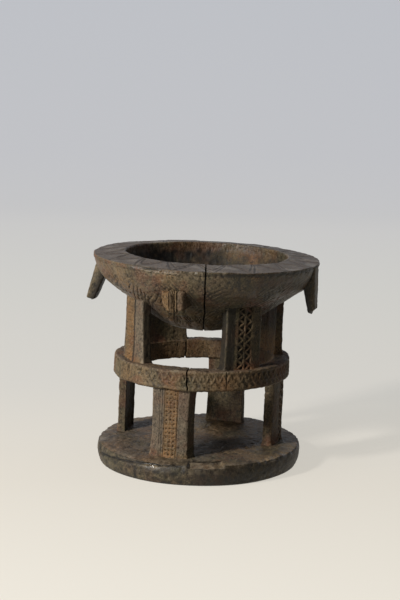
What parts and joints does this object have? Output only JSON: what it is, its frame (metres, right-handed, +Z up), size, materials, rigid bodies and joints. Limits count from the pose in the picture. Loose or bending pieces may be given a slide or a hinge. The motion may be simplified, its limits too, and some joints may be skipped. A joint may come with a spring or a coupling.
{
  "type": "divination cup",
  "caption": "Carved dark wooden cup: a round foot, flat panels, an open ring, staggered upper panels and a cone-sided bowl with a broad rim, hanging lugs and one broken lug.",
  "frame": {"origin": "centre of the flat underside of the foot", "axes": "+Z up through the bowl; -Y is the front, towards the broken lug; +X is the right-hand side"},
  "size_m": [0.1664, 0.1636, 0.1513],
  "materials": {
    "dark_wood": "dark handled patina, half gloss",
    "worn_wood": "dark patina worn to brown, satin",
    "torn_wood": "bare torn fibre, matt"
  },
  "bodies": {
    "root": {"base_disc": "dark_wood", "lower_post_front": "worn_wood", "lower_post_right": "worn_wood", "lower_post_back": "worn_wood", "lower_post_left": "worn_wood", "middle_ring": "dark_wood", "upper_post_front_right": "worn_wood", "upper_post_back_right": "worn_wood", "upper_post_back_left": "worn_wood", "upper_post_front_left": "worn_wood", "bowl": "dark_wood", "lug_left": "dark_wood", "lug_right": "dark_wood", "lug_back": "dark_wood", "lug_stub_front": "torn_wood"}
  },
  "joints": []
}
